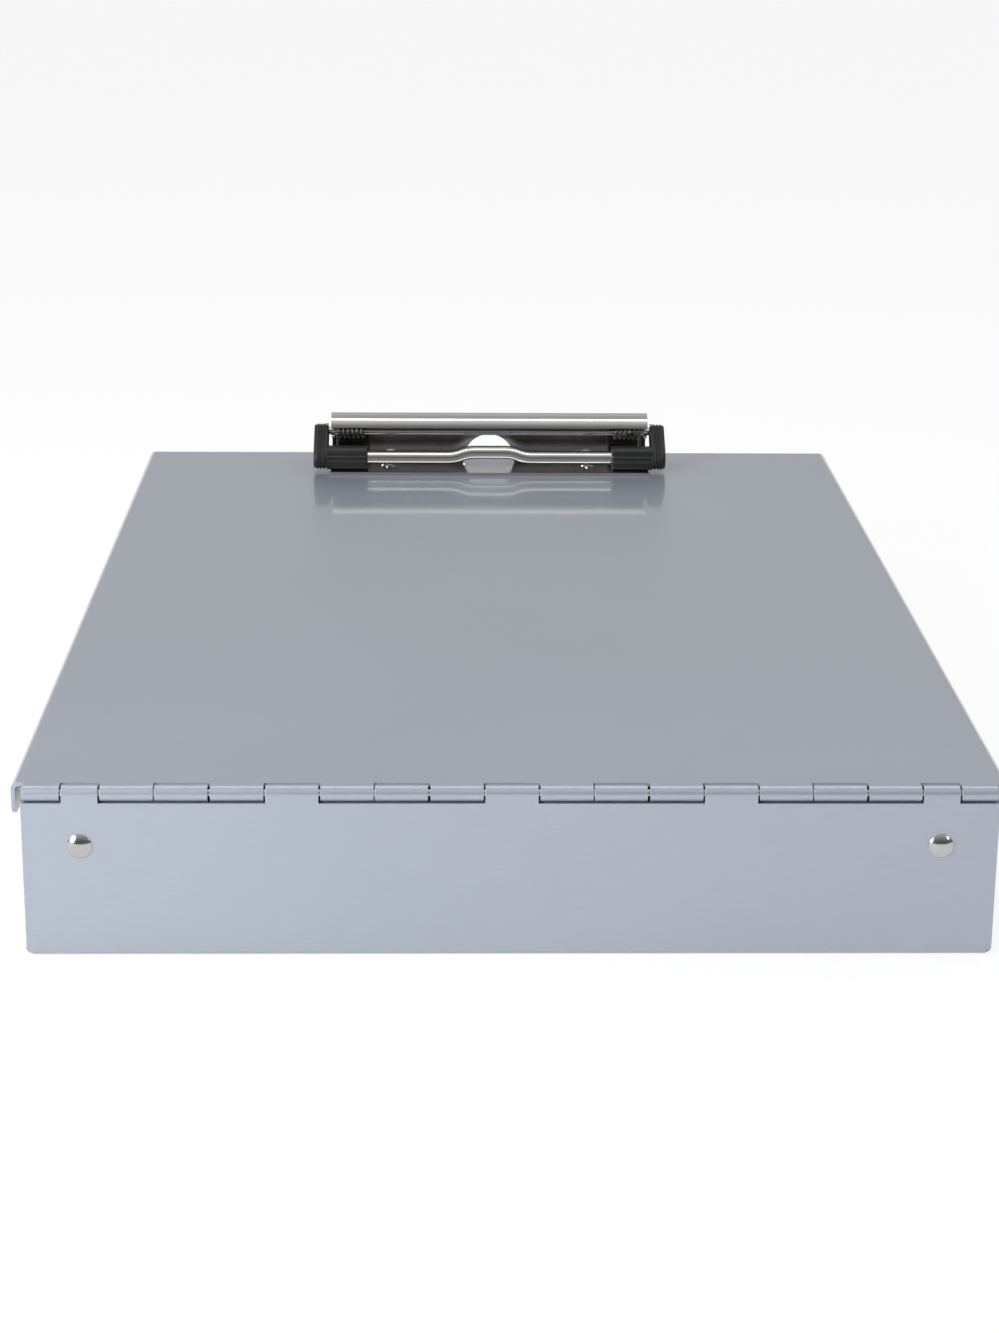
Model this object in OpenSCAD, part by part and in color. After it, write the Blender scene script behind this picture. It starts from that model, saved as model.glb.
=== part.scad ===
// Storage clipboard box: a folded aluminium tray, a shallow inner tray and a
// writing lid that share one pinned hinge, with a sprung clip riveted to the lid.
// Millimetres. X runs across the box, Y from the hinge at the front to the clip
// at the rear, Z up. The origin is the middle of the bottom of the whole object.

/* [Case] */
// Width over the side walls of the lower tray
case_w = 227.4; // [215:0.1:260]
// Length from the face of the front wall to the back of the lid
case_l = 336.5; // [300:0.5:380]
// Height from the bottom to the top of the lid
case_h = 41.9; // [38:0.1:60]
// Thickness of the aluminium sheet
sheet_t = 1; // [0.8:0.05:1.1]
// Outer radius of every folded edge
fold_r = 1.6; // [1.3:0.1:2]
// Depth of the flanges that hang from three sides of the lid
flange_h = 8.2; // [6:0.1:9]
// Gap between a wall of the lower tray and the lid's flange
flange_gap = 1.2; // [0.8:0.1:2]
// Gap where two folded walls meet at a corner
corner_gap = 0.4; // [0.2:0.1:0.8]

/* [Hinge] */
// Diameter of the hinge pin
pin_d = 1.8; // [1.4:0.1:2.2]
// Running clearance round the pin, on the radius
pin_gap = 0.05; // [0.02:0.01:0.1]
// Length of one full knuckle with its gap
knuckle_l = 12.7; // [11:0.1:13]
// Gap between the ends of two knuckles
knuckle_gap = 0.4; // [0.3:0.05:0.8]
// Distance from the side of the case to the end of the knuckle row
hinge_inset = 0.7; // [0.5:0.1:2]
// Clearance between a knuckle and the sheets notched round it
leaf_gap = 0.15; // [0.1:0.05:0.5]

/* [Inner tray] */
// Height of the inner tray over its lips
tray_h = 10.2; // [8:0.1:11]
// Gap between the side walls of the two trays
tray_gap = 1; // [0.8:0.1:2]
// Gap between the rear walls of the two trays
tray_rear_gap = 2; // [1.8:0.1:4]
// Distance of a lip's edge from the outside of the case
lip_inset = 0.2; // [0.1:0.1:0.5]
// Gap between a lip and the wall that it rests on
seat_gap = 0.05; // [0.02:0.01:0.2]
// Gap between the lips and the lid
lid_gap = 0.3; // [0.2:0.05:0.5]
// How far to the left the inner tray sits on the pin
tray_play = 0.15; // [0:0.01:0.18]

/* [Corner rivets] */
// Distance of a corner rivet from the side of the case
rivet_inset = 13.7; // [10:0.1:18]
// Height of the corner rivets above the bottom
rivet_z = 27.6; // [15:0.1:27.8]
// Diameter of the rivets' shanks
rivet_d = 3.2; // [2.4:0.1:3.6]
// Diameter of a corner rivet's domed head
rivet_head_d = 5.8; // [5:0.1:6.5]
// Height of a corner rivet's domed head
rivet_head_h = 1.2; // [0.8:0.1:1.6]
// Height of the closed end of a rivet
rivet_tail_h = 0.8; // [0.5:0.1:1]
// How far a side wall's tab reaches behind the front or rear wall
tab_l = 19; // [17:0.5:30]
// Distance from the top of a tab to the foot of the knuckles
tab_drop = 2; // [1:0.1:4]
// Gap between a tab and the wall that it is riveted to
tab_gap = 0.05; // [0.02:0.01:0.1]

/* [Clip base] */
// Width of the clip's base
clip_w = 106; // [96:0.5:130]
// Distance from the clip's front edge to the back of the lid
clip_setback = 35; // [30:0.1:60]
// Depth of the clip's base
clip_depth = 21.1; // [20.5:0.1:24]
// Height of the clip above the lid
clip_h = 17.8; // [17.3:0.1:20]
// Thickness of the clip's steel strip
strip_t = 1; // [0.8:0.05:1.1]
// Outer radius of the rolled top
roll_r = 5.3; // [5.1:0.1:6]
// Angle from the back wall round to the edge of the roll
roll_angle = 167; // [150:1:175]
// Width of the hole through the bend of the base
hole_d = 16.8; // [10:0.1:20]
// Distance from the front edge of the base to the hole
hole_front = 5.9; // [3:0.1:8]
// Height of the hole in the back wall
hole_h = 9.5; // [8.6:0.1:10]
// Distance from the end of the clip's base to its rivet
clip_rivet_inset = 19.5; // [17.5:0.1:30]
// Distance of the clip's rivets from its front edge
clip_rivet_y = 10; // [9.8:0.1:12]
// Diameter of a clip rivet's domed head
clip_rivet_head_d = 5.4; // [4.5:0.1:6]
// Height of a clip rivet's domed head
clip_rivet_head_h = 1.4; // [1:0.1:1.6]

/* [Bail] */
// Diameter of the rod that the bail turns on
rod_d = 2.6; // [2.2:0.1:3]
// Distance of the rod behind the clip's front edge
rod_y = 15.6; // [15.4:0.05:15.8]
// Height of the rod above the lid
rod_z = 11.6; // [11.4:0.05:12]
// Distance of the bar behind the clip's front edge
bar_y = 6.3; // [5.5:0.1:6.8]
// Height of the bar above the lid
bar_z = 4.7; // [4.6:0.1:5.4]
// Radius of the bar's rounded front
bar_r = 2.1; // [1.6:0.1:2.2]
// Length of the bar's two flat edges behind its rounded front
bar_edge = 1.3; // [1:0.1:1.6]
// Height of the hump in the middle of the bar
hump_h = 1.7; // [1:0.1:3]
// Width of the flat top of the hump
hump_w = 9.8; // [6:0.1:16]
// Length of each slope of the hump
hump_run = 9.1; // [7:0.1:14]
// Thickness of the bail's side arms
arm_t = 1.2; // [1:0.1:1.4]
// Gap between the base's ends and the bail's arms
arm_gap = 0.9; // [0.5:0.1:1.5]

/* [Grips] */
// Thickness of the grip outside a side arm
grip_skin = 3.6; // [2:0.1:4]
// Radius of the grip at the bar
grip_bar_r = 3.6; // [3.3:0.1:3.7]
// Radius of the grip at the rod
grip_rod_r = 3.2; // [3:0.1:3.6]
// Length of the foot that covers the end of the bar
foot_l = 12.3; // [9:0.1:14]
// Height of the ribs on the grip
rib_h = 0.35; // [0.2:0.05:0.5]
// Distance from the bar's middle to the front of a foot
foot_front = 3.4; // [2.5:0.1:4]
// Distance from the bar's middle to the back of a foot
foot_back = 2.8; // [2:0.1:3.2]
// Distance from the bar's middle to the top of a foot
foot_top = 3.7; // [2.5:0.1:3.8]
// Radius of a foot's long edges
foot_r = 1.5; // [1:0.1:1.8]
// Number of ribs along the face of a foot
foot_ribs = 2; // [0:1:3]
// Gap between the feet and the base that they rest on
foot_gap = 0.05; // [0.02:0.01:0.1]

/* [Springs] */
// Diameter of the spring wire
wire_d = 1; // [0.8:0.05:1.1]
// Turns in each spring
coil_turns = 6; // [4:1:8]
// Distance from one turn to the next
coil_pitch = 1.5; // [1.45:0.05:1.7]
// Gap between the coil and the rod
coil_gap = 0.45; // [0.3:0.05:0.6]
// Reach of the spring's leg below the rod
leg_l = 7; // [5:0.1:8]

/* [Hidden] */
$fn = 64;

// Overlap that joins two shapes of one solid
join = 0.2;

// Case
overall_l = case_l + rivet_head_h;
front_y = rivet_head_h - overall_l / 2;
back_y = front_y + case_l;
lid_w = case_w + 2 * (flange_gap + sheet_t);
rear_y = back_y - sheet_t - flange_gap;
plate_z = case_h - sheet_t;

// Hinge: nineteen knuckles, the four outer ones cut to what is left
knuckle_n = 19;
bore_d = pin_d + 2 * pin_gap;
knuckle_r = bore_d / 2 + sheet_t;
curl_angle = 282;
hinge_y = front_y + knuckle_r;
hinge_z = case_h - knuckle_r;
hinge_l = case_w - 2 * hinge_inset;
end_knuckle_l = (hinge_l - (knuckle_n - 4) * knuckle_l) / 4;
notch_y = hinge_y + knuckle_r + leaf_gap;
notch_z = hinge_z - knuckle_r - leaf_gap;

// Front edge of the lid and tops of the two front walls: their nearest corners clear the knuckles
leaf_edge = sqrt(pow(knuckle_r + leaf_gap, 2) - pow(knuckle_r - sheet_t, 2));
lid_front = hinge_y + leaf_edge;
leaf_top = hinge_z - leaf_edge;

// Inner tray
lip_z = plate_z - lid_gap - sheet_t;
wall_top = lip_z - seat_gap;
tray_z = lip_z + sheet_t - tray_h;
tray_w = case_w - 2 * (sheet_t + tray_gap);
tray_front = hinge_y + knuckle_r - sheet_t;
tray_rear = rear_y - sheet_t - tray_rear_gap;
lip_w = case_w - 2 * lip_inset;

// Lower tray's tabs
tab_low = fold_r + 1;
tab_top = notch_z - tab_drop;

// Clip
clip_front = back_y - clip_setback;
clip_wall = clip_front + clip_depth - strip_t;
roll_y = clip_front + clip_depth - roll_r;
roll_z = case_h + clip_h - roll_r;
pivot_y = clip_front + rod_y;
pivot_z = case_h + rod_z;
bar_place = [clip_front + bar_y, case_h + bar_z];
arm_in = clip_w / 2 + arm_gap;
arm_out = arm_in + arm_t;
clip_rivet_x = clip_w / 2 - clip_rivet_inset;
grip_out = arm_out + grip_skin;
foot_in = clip_w / 2 - foot_l;
bar_steps = 8;
bend_steps = 5;
grip_rim = 0.6;
grip_reach = 0.88;
rod_head = 0.6;

// Springs: 8 rings in a turn, 6 sides round the wire
curl_rings = 8;
wire_sides = 6;
coil_r = rod_d / 2 + coil_gap + wire_d / 2;
coil_out = clip_w / 2 - strip_t - coil_gap - wire_d / 2;
coil_in = coil_out - coil_turns * coil_pitch;
tang_r = 0.7;
tang_tilt = asin(tang_r / (coil_r - tang_r));

// Aluminium, nickel plate, steel and moulded rubber
case_colour = [0.62, 0.64, 0.68];
nickel_colour = [0.72, 0.71, 0.68];
steel_colour = [0.45, 0.46, 0.48];
grip_colour = [0.12, 0.13, 0.13];

// Leaf that a knuckle belongs to
function leaf(i) = i % 2 == 0 ? "lid" : i % 4 == 1 ? "wall" : "tray";
function knuckle_len(i) = i < 2 || i > knuckle_n - 3 ? end_knuckle_l : knuckle_l;
function knuckle_x(i) = i == 0 ? -hinge_l / 2 : knuckle_x(i - 1) + knuckle_len(i - 1);

// A flat shape carried along X: its first axis is Y and its second is Z
module along_x(x0, x1) {
    translate([x0, 0, 0]) rotate([90, 0, 90]) linear_extrude(x1 - x0) children();
}

// A flat shape carried along Y: its first axis is X and its second is Z
module along_y(y0, y1) {
    translate([0, y1, 0]) rotate([90, 0, 0]) linear_extrude(y1 - y0) children();
}

module box(low, high) {
    translate(low) cube(high - low);
}

module both_sides() {
    children();
    mirror([1, 0, 0]) children();
}

// Quarter of a bent strip in the first quadrant, with two short flats that reach into its neighbours
module fold(r, t) {
    intersection() {
        difference() {
            circle(r);
            circle(r - t);
        }
        square(r);
    }
    translate([-join, r - t]) square([join, t]);
    translate([r - t, -join]) square([t, join]);
}

// Fold of a floor at its right-hand edge, turned up from height z
module floor_fold(edge, z) {
    translate([edge - fold_r, z + fold_r]) rotate(-90) fold(fold_r, sheet_t);
}

// Sheet that comes up on the right and is curled round the pin, with a seam where its end meets it
module curl() {
    far = 2 * knuckle_r;
    reach = knuckle_r + leaf_gap + join;
    difference() {
        circle(knuckle_r);
        circle(knuckle_r - sheet_t);
        polygon([[0, 0], far * [cos(curl_angle), sin(curl_angle)], [far, -far], [far, 0]]);
    }
    translate([knuckle_r - sheet_t, -reach]) square([sheet_t, reach]);
}

// One knuckle, curled from the sheet that it belongs to
module knuckle(i) {
    x0 = knuckle_x(i) + knuckle_gap / 2;
    x1 = knuckle_x(i) + knuckle_len(i) - knuckle_gap / 2;
    along_x(x0, x1) translate([hinge_y, hinge_z]) {
        if (leaf(i) == "lid") rotate(90) curl();
        if (leaf(i) == "wall") mirror([1, 0]) curl();
        if (leaf(i) == "tray") curl();
    }
}

module knuckles(owner) {
    for (i = [0 : knuckle_n - 1]) if (leaf(i) == owner) knuckle(i);
}

// Hole for a rivet that points along Y
module rivet_hole(x, y) {
    translate([x, y, rivet_z]) rotate([90, 0, 0]) cylinder(d = rivet_d, h = 6 * sheet_t, center = true);
}

// Tab of the right side wall, folded round the vertical corner at y and pointing inwards
module corner_tab(top) {
    corner = case_w / 2 - fold_r;
    translate([corner, fold_r, tab_low]) linear_extrude(top - tab_low) rotate(-90) fold(fold_r, sheet_t);
    box([corner - tab_l, 0, tab_low], [corner, sheet_t, tab_top]);
}

module lower_tray() color(case_colour) {
    flat_x = case_w / 2 - fold_r;
    wall_x = case_w / 2 - corner_gap;
    tab_y = [front_y + sheet_t + tab_gap, rear_y - sheet_t - tab_gap];
    side_y = tab_y + [fold_r, -fold_r];
    difference() {
        union() {
            box([-flat_x, front_y + fold_r, 0], [flat_x, rear_y - fold_r, sheet_t]);
            // Front and rear walls
            along_x(-flat_x, flat_x) {
                translate([front_y + fold_r, fold_r]) rotate(180) fold(fold_r, sheet_t);
                floor_fold(rear_y, 0);
            }
            box([-wall_x, front_y, fold_r], [wall_x, front_y + sheet_t, leaf_top]);
            box([-wall_x, rear_y - sheet_t, fold_r], [wall_x, rear_y, wall_top]);
            // Side walls, with tabs behind the front and rear walls
            both_sides() {
                along_y(front_y + fold_r, rear_y - fold_r) floor_fold(case_w / 2, 0);
                difference() {
                    box([case_w / 2 - sheet_t, side_y[0], fold_r], [case_w / 2, side_y[1], wall_top]);
                    box([flat_x, side_y[0] - sheet_t, notch_z],
                        [case_w / 2 + sheet_t, notch_y, wall_top + sheet_t]);
                }
                translate([0, tab_y[0], 0]) corner_tab(notch_z);
                translate([0, tab_y[1], 0]) mirror([0, 1, 0]) corner_tab(wall_top);
            }
            knuckles("wall");
        }
        both_sides() {
            rivet_hole(case_w / 2 - rivet_inset, front_y + sheet_t);
            rivet_hole(case_w / 2 - rivet_inset, rear_y - sheet_t);
        }
    }
}

// Lip turned outwards from the top of a wall whose outer face is at edge
module lip(edge, reach) {
    translate([edge + fold_r - sheet_t, lip_z + sheet_t - fold_r]) rotate(90) fold(fold_r, sheet_t);
    translate([edge + fold_r - sheet_t, lip_z]) square([reach - edge - fold_r + sheet_t, sheet_t]);
}

module inner_tray() color(case_colour) translate([-tray_play, 0, 0]) {
    flat_x = tray_w / 2 - fold_r;
    wall_x = tray_w / 2 - sheet_t - corner_gap;
    wall_z = [tray_z + fold_r, lip_z + sheet_t - fold_r];
    side_y = [tray_front + fold_r, tray_rear - fold_r];
    box([-flat_x, side_y[0], tray_z], [flat_x, side_y[1], tray_z + sheet_t]);
    // Front wall, which carries four knuckles
    along_x(-flat_x, flat_x)
        translate([side_y[0], wall_z[0]]) rotate(180) fold(fold_r, sheet_t);
    box([-wall_x, tray_front, wall_z[0]], [wall_x, tray_front + sheet_t, leaf_top]);
    knuckles("tray");
    // Rear wall and its lip
    along_x(-flat_x, flat_x) {
        floor_fold(tray_rear, tray_z);
        lip(tray_rear, rear_y - lip_inset);
    }
    box([-wall_x, tray_rear - sheet_t, wall_z[0]], [wall_x, tray_rear, wall_z[1]]);
    // Side walls and their lips
    both_sides() along_y(side_y[0], side_y[1]) {
        floor_fold(tray_w / 2, tray_z);
        translate([tray_w / 2 - sheet_t, wall_z[0]]) square([sheet_t, wall_z[1] - wall_z[0]]);
        lip(tray_w / 2, lip_w / 2 + tray_play);
    }
}

// Section of the lid's fold and flange, at a right-hand edge
module lid_flange(edge) {
    translate([edge - fold_r, case_h - fold_r]) fold(fold_r, sheet_t);
    translate([edge - sheet_t, case_h - flange_h]) square([sheet_t, flange_h - fold_r]);
}

// Cuts the lower front corner of a side flange to a quarter circle
module flange_corner_cut() {
    r = fold_r + sheet_t;
    low = case_h - flange_h;
    along_x(lid_w / 2 - fold_r, lid_w / 2 + sheet_t) difference() {
        translate([lid_front - sheet_t, low - sheet_t]) square(r + sheet_t);
        translate([lid_front + r, low + r]) circle(r);
    }
}

module lid() color(case_colour) {
    flat_x = lid_w / 2 - fold_r;
    flat_y = back_y - fold_r;
    difference() {
        union() {
            box([-flat_x, lid_front, plate_z], [flat_x, flat_y, case_h]);
            along_x(-flat_x, flat_x) lid_flange(back_y);
            both_sides() difference() {
                along_y(lid_front, flat_y) lid_flange(lid_w / 2);
                flange_corner_cut();
            }
            knuckles("lid");
        }
        for (side = [-1, 1])
            translate([side * clip_rivet_x, clip_front + clip_rivet_y, plate_z - sheet_t])
                cylinder(d = rivet_d, h = 3 * sheet_t);
    }
}

module hinge_pin() color(steel_colour) {
    along_x(-hinge_l / 2, hinge_l / 2) translate([hinge_y, hinge_z]) circle(pin_d / 2);
}

// Rivet that points up: its head sits on z = 0 and it closes below grip
module rivet(head_d, head_h, grip) {
    dome_r = (head_d * head_d / 4 + head_h * head_h) / (2 * head_h);
    intersection() {
        translate([0, 0, head_h - dome_r]) sphere(dome_r);
        cylinder(d = head_d, h = head_h);
    }
    translate([0, 0, -grip]) cylinder(d = rivet_d, h = grip + join);
    translate([0, 0, -grip - rivet_tail_h]) cylinder(d = rivet_d + 1.2, h = rivet_tail_h);
}

// Corner rivet: side is -1 or 1, and the front one points forwards
module corner_rivet(side, front) color(nickel_colour) {
    translate([side * (case_w / 2 - rivet_inset), front ? front_y : rear_y, rivet_z])
        rotate([front ? 90 : -90, 0, 0]) rivet(rivet_head_d, rivet_head_h, 2 * sheet_t + tab_gap);
}

module clip_rivet(side) color(nickel_colour) {
    translate([side * clip_rivet_x, clip_front + clip_rivet_y, case_h + strip_t])
        rivet(clip_rivet_head_d, clip_rivet_head_h, strip_t + sheet_t);
}

// Strip rolled round the origin from angle 0 to the given angle
module roll(r, t, angle) {
    far = 3 * r;
    intersection() {
        difference() {
            circle(r);
            circle(r - t);
        }
        polygon([[0, 0], [far, 0], [far, far], [-far, far], far * [cos(angle), sin(angle)]]);
    }
}

// Ear folded in from the back wall, with a bore for the rod
module clip_ear() {
    along_x(clip_w / 2 - strip_t, clip_w / 2) difference() {
        union() {
            translate([pivot_y, pivot_z]) circle(rod_d / 2 + strip_t);
            translate([pivot_y, pivot_z - rod_d / 2 - strip_t])
                square([clip_wall - pivot_y + join, rod_d + strip_t]);
        }
        translate([pivot_y, pivot_z]) circle(rod_d / 2 + pin_gap);
    }
}

module clip_base() color(nickel_colour) {
    bend_r = fold_r + 0.2;
    wall_low = case_h + bend_r;
    hole_r = hole_d / 2;
    hole_y = clip_front + hole_front + hole_r;
    difference() {
        union() {
            along_x(-clip_w / 2, clip_w / 2) {
                translate([clip_front, case_h]) square([clip_depth - bend_r, strip_t]);
                translate([clip_front + clip_depth - bend_r, wall_low]) rotate(-90) fold(bend_r, strip_t);
                translate([clip_wall, wall_low]) square([strip_t, roll_z - wall_low]);
                translate([roll_y, roll_z]) roll(roll_r, strip_t, roll_angle);
            }
            both_sides() clip_ear();
        }
        // Hole through the bend: round in the floor and in the wall
        translate([0, hole_y, case_h - strip_t]) cylinder(r = hole_r, h = 3 * strip_t);
        box([-hole_r, hole_y, case_h - strip_t], [hole_r, clip_wall + 2 * strip_t, case_h + strip_t]);
        translate([0, clip_wall - bend_r, case_h + hole_h - hole_r]) rotate([-90, 0, 0])
            cylinder(r = hole_r, h = 2 * bend_r + strip_t);
        box([-hole_r, clip_wall - bend_r, case_h - strip_t],
            [hole_r, clip_wall + 2 * strip_t, case_h + hole_h - hole_r]);
        for (side = [-1, 1])
            translate([side * clip_rivet_x, clip_front + clip_rivet_y, case_h - strip_t])
                cylinder(d = rivet_d, h = 3 * strip_t);
    }
}

// Solid through a list of rings, each a closed loop of the same number of points
module loft(rings) {
    n = len(rings);
    m = len(rings[0]);
    walls = [for (i = [0 : n - 2], k = [0 : m - 1]) let (a = i * m + k, b = i * m + (k + 1) % m)
        each [[a, a + m, b], [b, a + m, b + m]]];
    ends = [[for (k = [0 : m - 1]) k], [for (k = [m - 1 : -1 : 0]) (n - 1) * m + k]];
    polyhedron([for (ring = rings) each ring], concat(walls, ends));
}

// Section of the bar: a strip folded to a C with its back open, on axes Y and Z
function bar_arc(r, a0, a1) = [for (k = [0 : bar_steps]) let (a = a0 + (a1 - a0) * k / bar_steps)
    r * [cos(a), sin(a)]];
function bar_section() = concat(
    [[bar_edge, bar_r]], bar_arc(bar_r, 90, 270), [[bar_edge, -bar_r], [bar_edge, strip_t - bar_r]],
    bar_arc(bar_r - strip_t, 270, 90), [[bar_edge, bar_r - strip_t]]
);

// Right half of the bar's path as [x, rise, slope]: the hump falls in two equal bends
hump_slope = 2 * atan(hump_h / hump_run);
hump_r = hump_run / (2 * sin(hump_slope));
function bar_half() = concat(
    [for (k = [0 : bend_steps]) let (a = hump_slope * k / bend_steps)
        [hump_w / 2 + hump_r * sin(a), hump_h - hump_r * (1 - cos(a)), a]],
    [for (k = [bend_steps - 1 : -1 : 0]) let (a = hump_slope * k / bend_steps)
        [hump_w / 2 + hump_run - hump_r * sin(a), hump_r * (1 - cos(a)), a]],
    [[(arm_in + arm_out) / 2, 0, 0]]
);
function bar_path() = let (half = bar_half()) concat(
    [for (i = [len(half) - 1 : -1 : 0]) [-half[i][0], half[i][1], -half[i][2]]], half
);
function bar_ring(p) = [for (q = bar_section())
    [p[0] + q[1] * sin(p[2]), bar_place[0] + q[0], bar_place[1] + p[1] + q[1] * cos(p[2])]];

// Side arm from the bar to the rod, on axes Y and Z
module arm_outline() {
    eye_r = rod_d / 2 + 1.3;
    run = [pivot_y, pivot_z] - bar_place;
    translate(bar_place) {
        circle(norm([bar_edge, bar_r]) + 0.1);
        rotate(atan2(run[1], run[0])) translate([0, -bar_r]) square([norm(run), 2 * bar_r]);
    }
    translate([pivot_y, pivot_z]) circle(eye_r);
}

module clip_bail() color(nickel_colour) {
    loft([for (p = bar_path()) bar_ring(p)]);
    both_sides() along_x(arm_in, arm_out) difference() {
        arm_outline();
        translate([pivot_y, pivot_z]) circle(rod_d / 2);
    }
}

module clip_pivot_rod() color(steel_colour) {
    reach = arm_out + rod_head;
    difference() {
        along_x(-reach, reach) translate([pivot_y, pivot_z]) circle(rod_d / 2);
        both_sides() translate([coil_in, pivot_y, pivot_z]) rotate([90 + tang_tilt, 0, 0])
            cylinder(d = wire_d + 2 * pin_gap, h = 2 * rod_d, center = true, $fn = 32);
    }
}

// Disc across X with chamfered rims
module rimmed_disc(x0, x1, place, r) {
    rim = min(grip_rim, (x1 - x0) / 3);
    translate([x0, place[0], place[1]]) rotate([0, 90, 0]) {
        cylinder(r = r - rim, h = x1 - x0, $fn = 32);
        translate([0, 0, rim]) cylinder(r = r, h = x1 - x0 - 2 * rim, $fn = 32);
    }
}

// Moulded cover along a side arm, from the bar almost to the rod
module arm_cover(x0, x1, extra) {
    rod_end = bar_place + grip_reach * ([pivot_y, pivot_z] - bar_place);
    hull() {
        rimmed_disc(x0, x1, bar_place, grip_bar_r + extra);
        rimmed_disc(x0, x1, rod_end, grip_rod_r + extra);
    }
}

// Foot round the end of the bar, which rests on the base
module grip_foot() {
    low = [bar_place[0] - foot_front, case_h + strip_t + foot_gap] + [foot_r, foot_r];
    high = bar_place + [foot_back, foot_top] - [foot_r, foot_r];
    hull() for (y = [low[0], high[0]], z = [low[1], high[1]])
        rimmed_disc(foot_in, arm_in + join, [y, z], foot_r);
    // Low ribs along its face
    for (k = [1 : foot_ribs])
        along_x(foot_in + grip_rim, arm_in)
            translate([low[0] - foot_r, low[1] + k * (high[1] - low[1]) / (foot_ribs + 1)]) circle(rib_h);
}

module grip_right() color(grip_colour) {
    rib_step = (grip_skin - grip_rim) / 3;
    difference() {
        union() {
            arm_cover(arm_in, grip_out, 0);
            for (k = [0 : 2])
                arm_cover(arm_out + k * rib_step, arm_out + (k + 0.5) * rib_step, rib_h);
            grip_foot();
        }
        clip_bail();
        along_x(arm_in, arm_out + rod_head) translate([pivot_y, pivot_z]) circle(rod_d / 2);
    }
}

// Wire of a spring: its leg on the back wall, its turns, and its tang through the rod.
// Points are from the rod's axis.
function leg_points() = [
    [coil_out, clip_wall - pivot_y - wire_d / 2, -leg_l],
    [coil_out, (coil_r + clip_wall - pivot_y - wire_d / 2) / 2, -leg_l / 2]
];
function turn_points() = [
    for (k = [0 : coil_turns * curl_rings])
        let (a = 360 * k / curl_rings, x = coil_out - coil_pitch * k / curl_rings)
            [x, coil_r * cos(a), coil_r * sin(a)]
];
function tang_points() =
    let (off = coil_r - tang_r, sweep = 90 + tang_tilt)
        [for (k = [1 : 4]) let (a = sweep * k / 4)
            [coil_in, off + tang_r * cos(a), tang_r * sin(a)]];
function turned(p, a) = [p[0], p[1] * cos(a) - p[2] * sin(a), p[1] * sin(a) + p[2] * cos(a)];
function tang_end() = [for (d = [0.5, -0.4]) turned([coil_in, d, 0], tang_tilt)];
function spring_points() = concat(leg_points(), turn_points(), tang_points(), tang_end());

// Direction of the path p at point i
function heading(p, i) =
    let (a = p[min(i + 1, len(p) - 1)] - p[max(i - 1, 0)]) a / norm(a);
function wire_ring(p, i) =
    let (t = heading(p, i), u = cross(t, [1, 0, 0]) / norm(cross(t, [1, 0, 0])), v = cross(t, u))
        [for (k = [0 : wire_sides - 1]) let (a = 360 * k / wire_sides)
            p[i] + wire_d / 2 * (cos(a) * u + sin(a) * v)];

// Least gap between points of one wire that are more than half a turn apart along it
function wire_gap(p) =
    min([for (i = [0 : len(p) - 1], j = [i + curl_rings / 2 + 1 : 1 : len(p) - 1]) norm(p[i] - p[j])]) - wire_d;

module spring_right() color(steel_colour) {
    path = spring_points();
    echo("least gap of a spring to itself", wire_gap(path));
    translate([0, pivot_y, pivot_z]) loft([for (i = [0 : len(path) - 1]) wire_ring(path, i)]);
}

lower_tray();
inner_tray();
lid();
hinge_pin();
corner_rivet(-1, true);  // front_rivet_left
corner_rivet(1, true);  // front_rivet_right
corner_rivet(-1, false);  // rear_rivet_left
corner_rivet(1, false);  // rear_rivet_right
clip_base();
clip_rivet(-1);  // clip_rivet_left
clip_rivet(1);  // clip_rivet_right
clip_bail();
clip_pivot_rod();
mirror([1, 0, 0]) grip_right();  // clip_grip_left
grip_right();  // clip_grip_right
mirror([1, 0, 0]) spring_right();  // clip_spring_left
spring_right();  // clip_spring_right
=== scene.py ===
# %% [markdown]
# # A storage clipboard box, dressed in Blender
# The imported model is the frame: it fixes where each piece is and how it moves, and this
# script never moves it. It builds finer pieces in the same places, gives every surface its
# finish, and sets the camera and the studio. Shapes are worked out in millimetres and written
# into meshes in metres. +X is right, +Y runs from the hinge to the clip, and +Z is up.

import math

import bmesh
import bpy
import numpy as np
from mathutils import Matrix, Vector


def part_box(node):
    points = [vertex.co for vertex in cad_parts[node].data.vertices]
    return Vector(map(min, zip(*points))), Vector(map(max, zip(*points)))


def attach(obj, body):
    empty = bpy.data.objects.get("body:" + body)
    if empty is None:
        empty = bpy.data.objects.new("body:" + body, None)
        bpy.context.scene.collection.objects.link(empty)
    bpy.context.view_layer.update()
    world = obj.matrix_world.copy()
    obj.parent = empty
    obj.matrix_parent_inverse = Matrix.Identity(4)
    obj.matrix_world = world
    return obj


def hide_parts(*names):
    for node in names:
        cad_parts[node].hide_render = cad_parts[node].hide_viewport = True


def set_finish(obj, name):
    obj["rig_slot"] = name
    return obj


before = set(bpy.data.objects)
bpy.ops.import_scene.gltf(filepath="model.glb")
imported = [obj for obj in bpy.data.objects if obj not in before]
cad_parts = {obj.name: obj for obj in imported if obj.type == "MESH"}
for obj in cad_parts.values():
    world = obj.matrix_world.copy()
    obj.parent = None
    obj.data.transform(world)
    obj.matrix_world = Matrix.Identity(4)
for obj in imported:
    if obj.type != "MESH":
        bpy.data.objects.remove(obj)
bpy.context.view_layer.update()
MM = 0.001

# %% [markdown]
# ## The camera
# The photograph's own camera comes first, because everything else is judged through it. It
# was found by fitting the box's known corners to their places in the photograph: it stands
# in front of the hinge and looks down at 17 degrees. A camera looks along its own -Z axis, so
# the third column of its matrix is the look direction turned round.

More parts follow.
